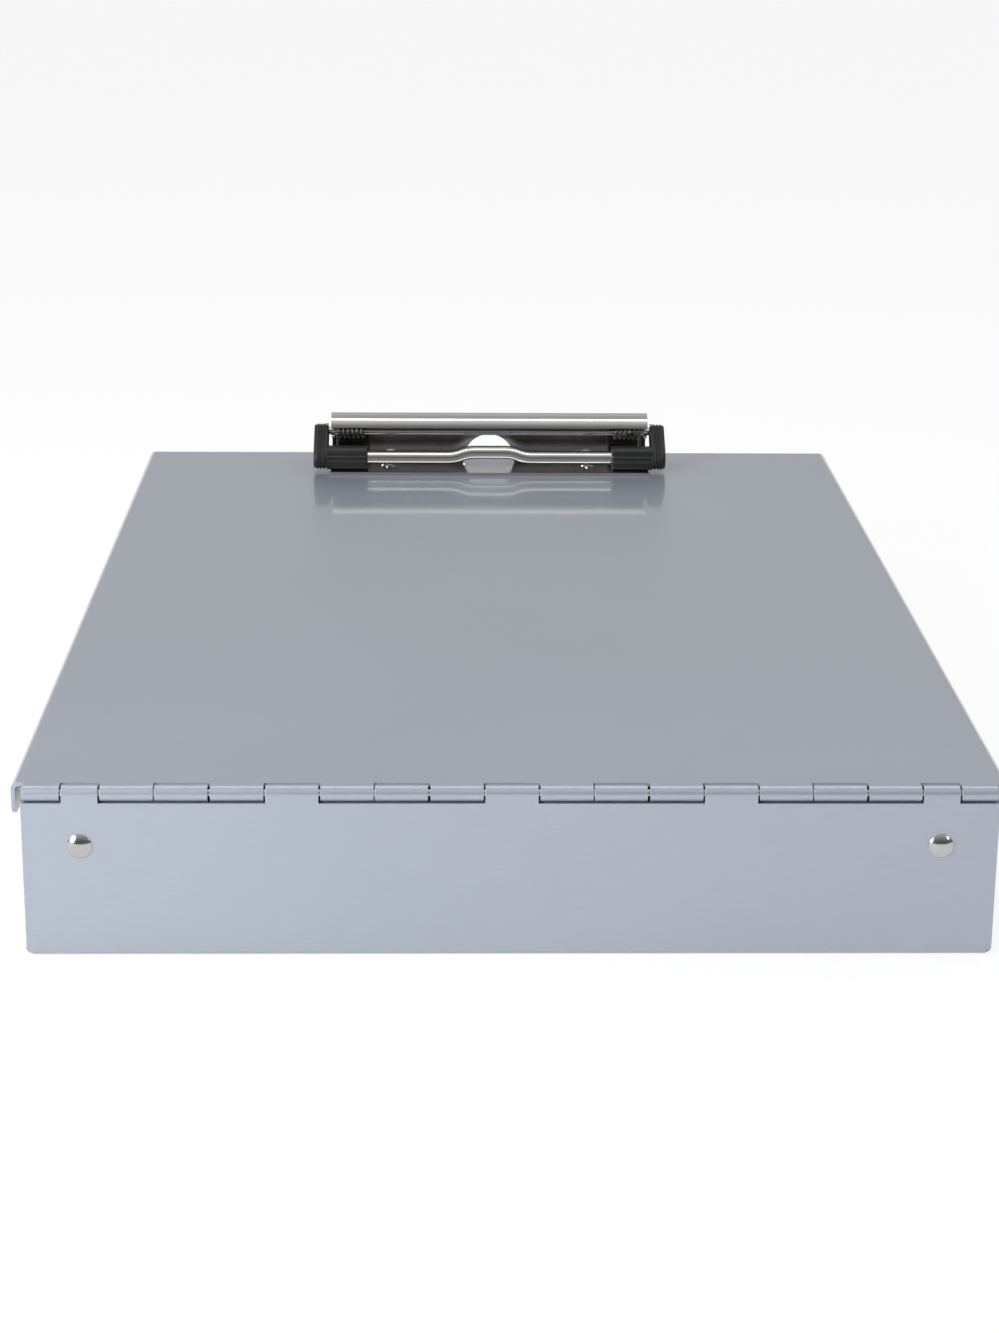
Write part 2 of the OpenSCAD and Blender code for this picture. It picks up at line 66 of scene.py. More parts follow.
# %% Camera
CAMERA_PLACE = np.array([-17.09, -775.86, 265.07])
PITCH, YAW, ROLL = (math.radians(a) for a in (17.664, -1.311, 0.472))
FOCAL_PIXELS = 2809.05
IMAGE_HEIGHT = 1333
SENSOR = 36.0

right = np.array([math.cos(YAW), math.sin(YAW), 0])
ahead = np.array([-math.sin(YAW) * math.cos(PITCH), math.cos(YAW) * math.cos(PITCH), -math.sin(PITCH)])
upward = np.cross(right, ahead)
rolled_right = math.cos(ROLL) * right + math.sin(ROLL) * upward
rolled_up = math.cos(ROLL) * upward - math.sin(ROLL) * right

camera_data = bpy.data.cameras.new("photo_camera")
camera_data.sensor_width = SENSOR
camera_data.lens = FOCAL_PIXELS / IMAGE_HEIGHT * SENSOR
camera_data.clip_start = 0.01
camera_data.clip_end = 50
camera = bpy.data.objects.new("photo_camera", camera_data)
bpy.context.scene.collection.objects.link(camera)
placed = np.eye(4)
placed[:3, 0], placed[:3, 1], placed[:3, 2] = rolled_right, rolled_up, -ahead
placed[:3, 3] = CAMERA_PLACE * MM
camera.matrix_world = placed.T.tolist()
bpy.context.scene.camera = camera
print(f"lens {camera_data.lens:.2f} mm")

# %% [markdown]
# ## Sizes
# A piece must sit exactly where the frame has it, so its size is read from the frame's boxes.
# Only what a box can't tell, such as a sheet's thickness or a clearance, is written here.

# %% Sizes of the case


def corners(node):
    """Lowest and highest corner of a CAD node, in millimetres."""
    low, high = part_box(node)
    return np.array(low) / MM, np.array(high) / MM


SHEET = 1.0
HALF = SHEET / 2
# Outer radius of a fold.
FOLD = 1.6
# How far from a fold or an edge an extra row of points stands, to keep the flat beside it flat.
EASE = 0.5

lid_low, lid_high = corners("lid")
case_low, case_high = corners("lower_tray")
tray_low, tray_high = corners("inner_tray")
pin_low, pin_high = corners("hinge_pin")

AXIS = (pin_low + pin_high) / 2
TOP = lid_high[2]
FRONT = case_low[1]
REAR = case_high[1]
CASE_SIDE = case_high[0]
CURL_R = TOP - AXIS[2]
# The edge of a leaf stays this far from its neighbour's curls, and LEAF_EDGE is how far that
# is from the pin's axis.
LEAF_GAP = 0.15
LEAF_EDGE = math.sqrt((CURL_R + LEAF_GAP) ** 2 - (CURL_R - SHEET) ** 2)
LID_FRONT = AXIS[1] + LEAF_EDGE
LEAF_TOP = AXIS[2] - LEAF_EDGE
NOTCH_Y = AXIS[1] + CURL_R + LEAF_GAP
NOTCH_Z = AXIS[2] - CURL_R - LEAF_GAP
# The inner tray's lips hang this far under the lid, and this far over the walls.
LID_GAP = 0.3
LIP_GAP = 0.05
LIP_TOP = TOP - SHEET - LID_GAP
WALL_TOP = LIP_TOP - SHEET - LIP_GAP
print(f"lid {np.round(lid_high - lid_low, 1)} mm, curls of radius {CURL_R:.2f} mm")

# %% [markdown]
# Three sheets share the hinge row. Counting from the left, every second knuckle is the
# lid's, and the ones between belong in turn to the front wall and to the inner tray. The two
# knuckles at each end are cut to what is left of the row.

# %% The row of knuckles
KNUCKLES = 19
KNUCKLE = 12.7
KNUCKLE_GAP = 0.4
# A tongue is curled round the pin through this many degrees.
CURL_SWEEP = 282


def knuckle_edges():
    """Left and right edge of each knuckle: running sums of the lengths, less half a gap."""
    ends = [0, 1, -2, -1]
    left_over = pin_high[0] - pin_low[0] - (KNUCKLES - len(ends)) * KNUCKLE
    lengths = np.full(KNUCKLES, KNUCKLE)
    lengths[ends] = left_over / len(ends)
    left = pin_low[0] + np.concatenate([[0], np.cumsum(lengths)[:-1]])
    return np.stack([left + KNUCKLE_GAP / 2, left + lengths - KNUCKLE_GAP / 2], 1)


row = knuckle_edges()
LID_KNUCKLES, WALL_KNUCKLES, TRAY_KNUCKLES = row[0::2], row[1::4], row[3::4]
print("knuckles on lid, wall and tray:", len(LID_KNUCKLES), len(WALL_KNUCKLES), len(TRAY_KNUCKLES))

# %% [markdown]
# ## Folded sheets
# A sheet-metal box is one flat blank that is notched and then bent, and the easiest way to
# model it is the same: draw only the middle of the sheet as a path with round bends, carry
# the path along the fold, and let the Solidify modifier give it thickness. Bends then get
# true inner and outer radii, and cut edges come out square. A fine Bevel on those edges
# catches the light, as a deburred edge does.

# %% Paths of bent sheet


def bent_path(points, radius=FOLD - HALF, steps=6):
    """Straight runs joined by arcs. At a corner the arc leaves one run and meets the next at a
    tangent: start + d0 r sin(a) + n r (1 - cos(a)), with a from 0 to the turn. A point just
    before and after each arc keeps the flats flat when the mesh is shaded smooth."""
    points = np.asarray(points, float)
    out = [points[:1]]
    for before, corner, after in zip(points[:-2], points[1:-1], points[2:]):
        d0 = (corner - before) / np.linalg.norm(corner - before)
        d1 = (after - corner) / np.linalg.norm(after - corner)
        turn = math.acos(np.clip(d0 @ d1, -1, 1))
        normal = (d1 - (d0 @ d1) * d0) / math.sin(turn)
        start = corner - d0 * radius * math.tan(turn / 2)
        a = np.linspace(0, turn, steps + 1)[:, None]
        arc = start + d0 * radius * np.sin(a) + normal * radius * (1 - np.cos(a))
        out += [arc[:1] - d0 * EASE, arc, arc[-1:] + d1 * EASE]
    return np.concatenate(out + [points[-1:]])


def curl_path(start, sweep, steps=28):
    """Middle of a sheet that is curled round the pin: a circle about the hinge's axis."""
    a = np.radians(start + np.linspace(0, sweep, steps + 1))
    r = CURL_R - HALF
    return np.stack([AXIS[1] + r * np.cos(a), AXIS[2] + r * np.sin(a)], 1)


def levels(low, high, inner=()):
    """Sorted places from low to high, with those of inner that lie between, and one just
    inside each end."""
    inner = np.concatenate([np.ravel(inner), [low + EASE, high - EASE]])
    inside = inner[(inner > low + 1e-4) & (inner < high - 1e-4)]
    return np.unique(np.round(np.concatenate([[low], inside, [high]]), 4))


print("a fold takes", len(bent_path([(0, 0), (9, 0), (9, 9)])), "points")

# %% [markdown]
# A path has two coordinates, and the third is the one that it is carried along. The grids of
# one blank share their edge points, so merging the points that meet joins them into one
# sheet.

# %% Grids


def carried(path, places, along):
    """Grid of points: a path repeated at each place along axis 0, 1 or 2."""
    grid = np.empty((len(places), len(path), 3))
    grid[..., along] = np.asarray(places)[:, None]
    grid[..., [axis for axis in range(3) if axis != along]] = path
    return grid


def flipped(grid):
    """The same grid on the other side of the box."""
    return grid * (-1, 1, 1)


def grid_faces(rows, columns, first, wrap):
    """Corner numbers of a grid's quads, for points numbered row by row from first."""
    index = first + np.arange(rows * columns).reshape(rows, columns)
    if wrap:
        index = np.concatenate([index, index[:, :1]], 1)
    return np.stack([index[:-1, :-1], index[1:, :-1], index[1:, 1:], index[:-1, 1:]], -1).reshape(-1, 4)


def merge_points(mesh, distance=2e-6):
    """Merges points that meet, drops faces without area and turns all faces the same way."""
    work = bmesh.new()
    work.from_mesh(mesh)
    bmesh.ops.remove_doubles(work, verts=work.verts, dist=distance)
    bmesh.ops.dissolve_degenerate(work, dist=distance / 10, edges=work.edges)
    bmesh.ops.recalc_face_normals(work, faces=work.faces)
    work.to_mesh(mesh)
    work.free()


def mesh_object(name, grids, wrap=False, caps=False):
    """Object made of grids. wrap joins a grid's last column to its first, and caps closes its
    first and last row."""
    points, faces, count = [], [], 0
    for grid in grids:
        rows, columns = grid.shape[:2]
        faces += grid_faces(rows, columns, count, wrap).tolist()
        if caps:
            ring = count + np.arange(columns)
            faces += [ring.tolist(), (ring[::-1] + (rows - 1) * columns).tolist()]
        points.append(grid.reshape(-1, 3) * MM)
        count += rows * columns
    mesh = bpy.data.meshes.new(name)
    mesh.from_pydata(np.concatenate(points).tolist(), [], faces)
    piece = bpy.data.objects.new(name, mesh)
    bpy.context.scene.collection.objects.link(piece)
    merge_points(mesh)
    mesh.shade_smooth()
    return piece


print("grids are carried along X, Y or Z")

# %% [markdown]
# Every new piece ends the same way: its edges are rounded, it rides on the body that carries
# the CAD node, it takes that node's place, and it names the material slot of its finish.

# %% Finishing a piece
# Edges that turn by more than this many degrees are rounded.
SHARP = 40
finished = []


def finish_piece(piece, body, node, slot, edge=0.1):
    """Rounds the sharp edges, then ties the piece to its body, its CAD node and its slot."""
    if edge:
        bevel = piece.modifiers.new("rounded_edges", "BEVEL")
        bevel.width = edge * MM
        bevel.segments = 2
        bevel.limit_method = "ANGLE"
        bevel.angle_limit = math.radians(SHARP)
        bevel.harden_normals = True
    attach(piece, body)
    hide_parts(node)
    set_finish(piece, slot)
    finished.append(piece)
    return piece


def folded_sheet(name, grids, body, node, slot, thickness=SHEET):
    """Piece of sheet metal from grids of its middle surface."""
    piece = mesh_object(name, grids)
    solid = piece.modifiers.new("sheet_thickness", "SOLIDIFY")
    solid.thickness = thickness * MM
    solid.offset = 0
    solid.use_even_offset = True
    return finish_piece(piece, body, node, slot)


print("edges that turn by more than", SHARP, "degrees are rounded")

# %% [markdown]
# ## The lid
# The lid is the writing plate. Its rear and side edges are folded down into flanges, and its
# front edge is cut into ten tongues that curl round the pin. All of it is one blank, so all
# of it is one mesh. The lower front corner of each side flange is rounded: the last row of
# the flange is lifted there by a quarter circle.

# %% Lid
FLANGE_LOW = lid_low[2]
BACK = lid_high[1]
LID_SIDE = lid_high[0]
CORNER_R = FOLD + SHEET


def lid_grids():
    """Plate, three flanges and ten curls of the lid's middle surface."""
    flat_x, flat_y, mid = LID_SIDE - FOLD, BACK - FOLD, TOP - HALF
    turn = np.radians(np.linspace(0, 90, 8))
    xs = levels(-flat_x, flat_x, LID_KNUCKLES)
    ys = levels(LID_FRONT, flat_y, LID_FRONT + CORNER_R * (1 - np.cos(turn)))
    plate = carried([(y, mid) for y in ys], xs, 0)
    rear = bent_path([(flat_y - FOLD, mid), (BACK - HALF, mid), (BACK - HALF, FLANGE_LOW)])
    side = bent_path([(flat_x - FOLD, mid), (LID_SIDE - HALF, mid), (LID_SIDE - HALF, FLANGE_LOW)])
    flange = carried(side[2:], ys, 1)
    reach = np.clip(CORNER_R - (ys - LID_FRONT), 0, CORNER_R)
    flange[:, -1, 2] += CORNER_R - np.sqrt(CORNER_R ** 2 - reach ** 2)
    tongue = np.concatenate([[(LID_FRONT, mid)], curl_path(90, CURL_SWEEP)])
    curls = [carried(tongue, edges, 0) for edges in LID_KNUCKLES]
    return [plate, carried(rear[2:], xs, 0), flange, flipped(flange), *curls]


lid_piece = folded_sheet("lid_sheet", lid_grids(), "lid", "lid", "case_aluminium")
print("lid:", len(lid_piece.data.polygons), "faces in its middle surface")

# %% [markdown]
# ## The lower tray
# The floor turns up into four walls. The side walls end in tabs that turn in behind the
# front and rear walls, where the corner rivets hold them, and they are notched beside the
# hinge. The front wall rises between the lid's tongues into five curls of its own.

# %% Lower tray
# The tabs' length, their gap to the end walls, and their lower and upper edges.
TAB = 19.0
TAB_GAP = 0.05
TAB_LOW = FOLD + 1.0
TAB_TOP = NOTCH_Z - 2.0
# How far a folded-up wall stays from the wall that it meets at a corner.
CORNER_GAP = 0.4


def lower_tray_grids():
    """Floor, walls, tabs and curls of the lower tray's middle surface."""
    flat_x, wall_x, mid_x = CASE_SIDE - FOLD, CASE_SIDE - CORNER_GAP, CASE_SIDE - HALF
    tab_front, tab_rear = FRONT + SHEET + TAB_GAP, REAR - SHEET - TAB_GAP
    side_y = levels(tab_front + FOLD, tab_rear - FOLD, [NOTCH_Y])
    ys = levels(FRONT + FOLD, REAR - FOLD, side_y)
    xs = levels(-flat_x, flat_x, WALL_KNUCKLES)
    wide = np.unique(np.concatenate([[-wall_x], xs, [wall_x]]))
    grids = [carried([(y, HALF) for y in ys], xs, 0)]
    for face, inwards, top in ((FRONT, 1, LEAF_TOP), (REAR, -1, WALL_TOP)):
        mid = face + inwards * HALF
        run = bent_path([(face + inwards * 2 * FOLD, HALF), (mid, HALF), (mid, top)])
        grids += [carried(run[2:-2], xs, 0), carried(run[-3:], wide, 0)]
    heights = [FOLD, FOLD + EASE, TAB_LOW, TAB_TOP, NOTCH_Z, WALL_TOP]
    side = bent_path([(flat_x - FOLD, HALF), (mid_x, HALF), (mid_x, WALL_TOP)])
    wall = [(mid_x, z) for z in heights]
    halves = [
        carried(side[2:-2], ys, 1),
        carried(wall[:-1], side_y, 1),
        carried(wall[-2:], side_y[side_y >= NOTCH_Y - 1e-3], 1),
    ]
    for tab, inwards, rows in ((tab_front, 1, heights[2:-1]), (tab_rear, -1, heights[2:])):
        mid = tab + inwards * HALF
        run = bent_path([(mid_x, tab + inwards * 2 * FOLD), (mid_x, mid), (flat_x - TAB, mid)])
        halves += [carried(run[2:-2], rows, 2), carried(run[-3:], rows[:2], 2)]
    tongue = np.concatenate([[(FRONT + HALF, LEAF_TOP)], curl_path(180, -CURL_SWEEP)])
    curls = [carried(tongue, edges, 0) for edges in WALL_KNUCKLES]
    return grids + halves + [flipped(grid) for grid in halves] + curls


lower_piece = folded_sheet(
    "lower_tray_sheet", lower_tray_grids(), "lower_tray", "lower_tray", "case_aluminium")
print("lower tray:", len(lower_piece.data.polygons), "faces in its middle surface")

# %% [markdown]
# ## The inner tray
# The inner tray is a shallow box between the lid and the lower tray. Lips turned outwards
# hang it on the walls below, and four curls hold it on the same pin. It sits a little to the
# left on the pin, so its middle is read from the frame.

# %% Inner tray
# Room between the two trays at the sides and at the back.
TRAY_GAP = 1.0
TRAY_REAR_GAP = 2.0


def inner_tray_grids():
    """Floor, walls, lips and curls of the inner tray's middle surface."""
    centre = (tray_low[0] + tray_high[0]) / 2
    side_x = CASE_SIDE - SHEET - TRAY_GAP
    flat_x, wall_x, floor = side_x - FOLD, side_x - SHEET - CORNER_GAP, tray_low[2] + HALF
    front = AXIS[1] + CURL_R - SHEET
    rear = REAR - SHEET - TRAY_REAR_GAP
    ys = levels(front + FOLD, rear - FOLD)
    xs = levels(-flat_x, flat_x, TRAY_KNUCKLES)
    wide = np.unique(np.concatenate([[-wall_x], xs, [wall_x]]))
    lip = LIP_TOP - HALF
    lip_x = tray_high[0] - centre
    front_mid, rear_mid, side_mid = front + HALF, rear - HALF, side_x - HALF
    front_run = bent_path([(front + 2 * FOLD, floor), (front_mid, floor), (front_mid, LEAF_TOP)])
    rear_run = bent_path([(rear - 2 * FOLD, floor), (rear_mid, floor), (rear_mid, lip), (tray_high[1], lip)])
    side_run = bent_path([(flat_x - FOLD, floor), (side_mid, floor), (side_mid, lip), (lip_x, lip)])
    side = carried(side_run[2:], ys, 1)
    tongue = np.concatenate([[(front_mid, LEAF_TOP)], curl_path(0, CURL_SWEEP)])
    grids = [
        carried([(y, floor) for y in ys], xs, 0),
        carried(front_run[2:-2], xs, 0),
        carried(front_run[-3:], wide, 0),
        carried(rear_run[2:], xs, 0),
        side,
        flipped(side),
        *[carried(tongue, edges, 0) for edges in TRAY_KNUCKLES],
    ]
    return [grid + (centre, 0, 0) for grid in grids]


inner_piece = folded_sheet(
    "inner_tray_sheet", inner_tray_grids(), "inner_tray", "inner_tray", "case_aluminium")
print("inner tray:", len(inner_piece.data.polygons), "faces in its middle surface")

# %% [markdown]
# ## Turned pieces
# The pin, the rod and the rivets are round, so each is a profile carried round an axis. The
# profile is a list of places along the axis with a radius for each, and a radius of zero
# closes the end: its ring of points merges into one.

# %% Turned pieces
# How far the ends of the pin and of the rod are rounded.
PIN_ROUND = 0.25
ROD_ROUND = 0.35


def turned(name, profile, centre, axis, steps=48):
    """Surface of revolution: centre + h times the axis + r (u cos(a) + v sin(a)), for each
    (h, r) of the profile and each angle a."""
    axis = np.asarray(axis, float)
    u = np.array([axis[1], axis[2], axis[0]])
    v = np.cross(axis, u)
    a = np.linspace(0, 2 * np.pi, steps, endpoint=False)[None, :, None]
    h, r = (np.asarray(profile, float)[:, k][:, None, None] for k in (0, 1))
    grid = np.asarray(centre, float) + h * axis + r * (u * np.cos(a) + v * np.sin(a))
    return mesh_object(name, [grid], wrap=True)


def rod_profile(length, radius, round_by, steps=6):
    """Straight rod with rounded ends: a quarter circle from each face to the side."""
    a = np.radians(np.linspace(0, 90, steps))
    end = np.stack([round_by * (1 - np.cos(a)), radius - round_by + round_by * np.sin(a)], 1)
    half = np.concatenate([[(0, 0)], end, [(round_by + EASE, radius)]])
    return np.concatenate([half, (half * (-1, 1) + (length, 0))[::-1]])


pin_r = (pin_high[2] - pin_low[2]) / 2
pin = turned("hinge_pin_wire", rod_profile(pin_high[0] - pin_low[0], pin_r, PIN_ROUND),
             (pin_low[0], AXIS[1], AXIS[2]), (1, 0, 0), 32)
finish_piece(pin, "lower_tray", "hinge_pin", "bright_steel", edge=0)

rod_low, rod_high = corners("clip_pivot_rod")
PIVOT = (rod_low + rod_high) / 2
ROD_R = (rod_high[2] - rod_low[2]) / 2
rod = turned("pivot_rod_wire", rod_profile(rod_high[0] - rod_low[0], ROD_R, ROD_ROUND),
             (rod_low[0], PIVOT[1], PIVOT[2]), (1, 0, 0), 40)
finish_piece(rod, "bail", "clip_pivot_rod", "bright_steel", edge=0)
print("pin and rod turned")

# %% [markdown]
# A rivet has a domed head on the outside. On the inside its hollow end is rolled over into a
# ring with a dimple in it. The dome is a part of a sphere: its radius follows from the
# head's radius and height.

# %% Rivets
# Length and radius of the rolled tail, radius of the shank, and height of the head's rim.
RIVET_TAIL = 0.8
RIVET_TAIL_R = 2.2
RIVET_SHANK_R = 0.72 * RIVET_TAIL_R
RIVET_RIM = 0.18
# Outline of the rolled end, as height and radius for a tail of size 1.
ROLLED = np.array([
    (0.4375, 0.0), (0.475, 0.45), (0.6875, 0.62), (0.925, 0.75), (1.0, 0.82), (0.925, 0.92), (0.625, 0.99),
    (0, 1),
])


def rivet_profile(head_r, head_h, grip):
    """Rolled tail, shank and domed head. The dome is h = head_h - R + sqrt(R^2 - r^2), with
    R = (head_r^2 + cap^2) / (2 cap) and cap the dome's height over a low upright rim."""
    cap = head_h - RIVET_RIM
    big = (head_r ** 2 + cap ** 2) / (2 * cap)
    r = head_r * np.cos(np.radians(np.linspace(0, 90, 14)))
    dome = np.stack([head_h - big + np.sqrt(big ** 2 - r ** 2), r], 1)
    tail = ROLLED * (-RIVET_TAIL, RIVET_TAIL_R) - (grip, 0)
    shank = [(-grip, RIVET_SHANK_R), (0, RIVET_SHANK_R), (0, head_r)]
    return np.concatenate([tail, shank, dome])


for side in ("left", "right"):
    for end, direction, wall in (("front", -1, FRONT), ("rear", 1, REAR)):
        low, high = corners(f"{end}_rivet_{side}")
        centre = ((low[0] + high[0]) / 2, wall, (low[2] + high[2]) / 2)
        head_h = abs((low if direction < 0 else high)[1] - wall)
        profile = rivet_profile((high[0] - low[0]) / 2, head_h, 2 * SHEET + TAB_GAP)
        piece = turned(f"{end}_rivet_head_{side}", profile, centre, (0, direction, 0), 56)
        finish_piece(piece, "lower_tray", f"{end}_rivet_{side}", "rivet_nickel", edge=0)
    low, high = corners(f"clip_rivet_{side}")
    centre = ((low[0] + high[0]) / 2, (low[1] + high[1]) / 2, TOP + SHEET)
    profile = rivet_profile((high[0] - low[0]) / 2, high[2] - centre[2], 2 * SHEET)
    piece = turned(f"clip_rivet_head_{side}", profile, centre, (0, 0, 1), 56)
    finish_piece(piece, "lid", f"clip_rivet_{side}", "rivet_nickel", edge=0)
print("six rivets set")

# %% [markdown]
# ## The clip's base
# The base is a strip of spring steel that lies on the lid, turns up into a back wall and is
# rolled forwards at the top. A hole for a nail or hook goes through its bend. A hole cut
# into a bent surface leaves ragged faces, so it is cut while the strip is flat: the grid is
# laid out on the flat strip, with its rows stopping at the hole's outline, and then every
# point is moved onto the bent path by its distance from the front edge.

# %% The strip's path
clip_low, clip_high = corners("clip_base")
STRIP = 1.0
# Outer radii of the bend and of the roll, and how far round the roll goes.
BEND = 1.8
ROLL_R = 5.3
ROLL_ANGLE = math.radians(167)
# The hole's radius, its distance from the front edge and the height of its top over the lid.
HOLE_R = 8.4
HOLE_FRONT = 5.9
HOLE_TOP = 9.5
# How far over the hole the rows follow its outline.
HOLE_BORDER = 1.2

ROLL_BASE = clip_high[2] - ROLL_R
FLAT_END = clip_high[1] - clip_low[1] - BEND
BEND_END = FLAT_END + (BEND - STRIP / 2) * np.pi / 2
WALL_END = BEND_END + ROLL_BASE - (TOP + BEND)
STRIP_END = WALL_END + (ROLL_R - STRIP / 2) * ROLL_ANGLE


def on_strip(s):
    """Y and Z at distance s along the strip's middle: straight over the lid, round the bend,
    straight up the wall and round the roll."""
    bend_r, roll_r = BEND - STRIP / 2, ROLL_R - STRIP / 2
    a = np.clip((s - FLAT_END) / bend_r, 0, np.pi / 2)
    b = np.clip((s - WALL_END) / roll_r, 0, ROLL_ANGLE)
    along, up = np.clip(s, 0, FLAT_END), np.clip(s - BEND_END, 0, WALL_END - BEND_END)
    y = clip_low[1] + along + bend_r * np.sin(a) + roll_r * (np.cos(b) - 1)
    z = TOP + STRIP / 2 + bend_r * (1 - np.cos(a)) + up + roll_r * np.sin(b)
    return np.stack([y, z], -1)


print(f"the strip is {STRIP_END:.1f} mm long when flat")

# %% Clip base
# Room between the rod and its bore in an ear.
BORE_GAP = 0.05


def strip_grid(xs, s):
    """Grid on the bent strip: x across it and distance s along it, both as arrays."""
    s = np.broadcast_to(s, (len(xs), np.shape(s)[-1]))
    grid = np.empty(s.shape + (3,))
    grid[..., 0] = np.asarray(xs)[:, None]
    grid[..., 1:] = on_strip(s)
    return grid


def clip_base_grids():
    """Strip with a stadium-shaped hole. In front of the hole a row ends at the lower half
    circle, s = c0 - sqrt(r^2 - x^2), and behind it a row starts at the upper one,
    s = c1 + sqrt(r^2 - x^2). A narrow column beside the hole keeps the wall's shading flat."""
    c0 = HOLE_FRONT + HOLE_R
    c1 = BEND_END + HOLE_TOP - HOLE_R - BEND
    above = BEND_END + HOLE_TOP + HOLE_BORDER - BEND
    xs = HOLE_R * np.sin(np.radians(np.linspace(-90, 90, 33)))
    drop = np.sqrt(np.clip(HOLE_R ** 2 - xs ** 2, 0, None))[:, None]
    t = np.linspace(0, 1, 7)
    front = (c0 - drop) * t
    rise = np.unique(np.concatenate([t, [(BEND_END - c1) / (above - c1)]]))
    behind = (c1 + drop) + (above - c1 - drop) * rise
    roll = np.linspace(WALL_END, STRIP_END, 29)
    top = np.concatenate([[above, WALL_END - EASE], roll])
    bend = np.linspace(FLAT_END, BEND_END, 8)
    s = np.concatenate([c0 * t, bend, [c0, c1, FLAT_END - EASE], c1 + (above - c1) * rise, top])
    outer = np.concatenate([[HOLE_R], np.linspace(HOLE_R + EASE, clip_high[0], 8)])
    sides = strip_grid(outer, np.unique(np.round(s, 6)))
    return [strip_grid(xs, front), strip_grid(xs, behind), strip_grid(xs, top), sides, flipped(sides)]


def ear_grid():
    """Ear that carries the rod: rays from a bore to the rim of a tab with a round end. A ray
    ends at min(r, edge): r in front, and the tab's top, bottom or back edge behind."""
    r, reach = ROD_R + STRIP, clip_high[1] - STRIP / 2 - PIVOT[1]
    corner = math.atan2(r, reach)
    a = np.unique(np.concatenate([np.linspace(-np.pi, np.pi, 41)[:-1], [corner, -corner]]))
    c, s = np.cos(a), np.sin(a)
    edge = np.minimum(r / np.maximum(np.abs(s), 1e-9), reach / np.maximum(c, 1e-9))
    rim = np.where(c > 0, edge, r)
    rings = np.stack([np.full_like(a, ROD_R + BORE_GAP), (rim + ROD_R) / 2, rim])
    grid = np.empty(rings.shape + (3,))
    grid[..., 0] = clip_high[0] - STRIP / 2
    grid[..., 1] = PIVOT[1] + rings * c
    grid[..., 2] = PIVOT[2] + rings * s
    return np.concatenate([grid, grid[:, :1]], 1)


ear = ear_grid()
base_piece = folded_sheet("clip_base_strip", clip_base_grids() + [ear, flipped(ear)], "lid", "clip_base",
                          "clip_nickel", STRIP)
print("clip base:", len(base_piece.data.polygons), "faces in its middle surface")

# %% [markdown]
# ## The bail
# The bail is the wire-like frame that holds the paper down. Its bar is a strip folded to a C
# with the open side at the back, and it rises in a hump over the middle. The hump's slopes
# are two equal arcs each, one turning up and one turning back. Two flat arms join the bar to
# the rod.

# %% Bail
# The bar's middle on axes Y and Z, its radius, and how far its edges stand behind its middle.
BAR = np.array([clip_low[1] + 6.3, TOP + 4.7])
BAR_R = 2.1
BAR_EDGE = 1.3
# The hump's height, the width of its flat top and the run of a slope.
HUMP_H = 1.7
HUMP_W = 9.8
HUMP_RUN = 9.1
# One more ring of points on the bar's long straight part.
BAR_RING = 30
ARM_IN = clip_high[0] + 0.9
ARM_OUT = ARM_IN + 1.2
ARM_BAR_R = 2.55
ARM_ROD_R = ROD_R + 1.3


def bar_section(steps=20):
    """Closed outline of the C on axes Y and Z: outer half circle, two flats, inner half circle."""
    a = np.radians(np.linspace(90, 270, steps + 1))
    arc = np.stack([np.cos(a), np.sin(a)], 1)
    inner = BAR_R - STRIP
    return np.concatenate([
        [(BAR_EDGE, BAR_R)], BAR_R * arc, [(BAR_EDGE, -BAR_R), (BAR_EDGE, -inner)],
        inner * arc[::-1], [(BAR_EDGE, inner)],
    ])


def bar_path(steps=12):
    """Places along the bar as x, rise and slope. A slope of the hump turns by twice
    atan(height / run), on arcs of radius run / (2 sin(turn))."""
    turn = 2 * math.atan(HUMP_H / HUMP_RUN)
    r = HUMP_RUN / (2 * math.sin(turn))
    a = np.linspace(0, turn, steps)
    upper = np.stack([HUMP_W / 2 + r * np.sin(a), HUMP_H - r * (1 - np.cos(a)), a], 1)
    a = a[-2::-1]
    lower = np.stack([HUMP_W / 2 + HUMP_RUN - r * np.sin(a), r * (1 - np.cos(a)), a], 1)
    straight = [(x, 0, 0) for x in (HUMP_W / 2 + HUMP_RUN + EASE, BAR_RING, (ARM_IN + ARM_OUT) / 2)]
    half = np.concatenate([[(HUMP_W / 2 - EASE, HUMP_H, 0)], upper, lower, straight])
    return np.concatenate([(half * (-1, 1, -1))[::-1], half])


def bar_grid():
    """Section carried along the path and kept square to it: (x + q sin(slope), y + p,
    z + rise + q cos(slope)), for each point (p, q) of the section."""
    x, rise, slope = (column[:, None] for column in bar_path().T)
    p, q = bar_section().T
    y = np.broadcast_to(BAR[0] + p, (len(x), len(p)))
    return np.stack([x + q * np.sin(slope), y, BAR[1] + rise + q * np.cos(slope)], -1)


def circle_points(centre, r, a):
    """Points of a circle at the angles a."""
    return np.asarray(centre) + r * np.stack([np.cos(a), np.sin(a)], 1)


def belt(c0, r0, c1, r1, steps=40):
    """Outline round two circles on axes Y and Z, like a belt on two pulleys: the far half of
    each circle, turned by acos((r0 - r1) / distance) from the line between them."""
    run = np.subtract(c1, c0)
    heading = math.atan2(run[1], run[0])
    half = math.acos((r0 - r1) / np.linalg.norm(run))
    a0 = heading + np.linspace(half, 2 * np.pi - half, steps)
    a1 = heading + np.linspace(-half, half, steps)
    return np.concatenate([circle_points(c0, r0, a0), circle_points(c1, r1, a1)])


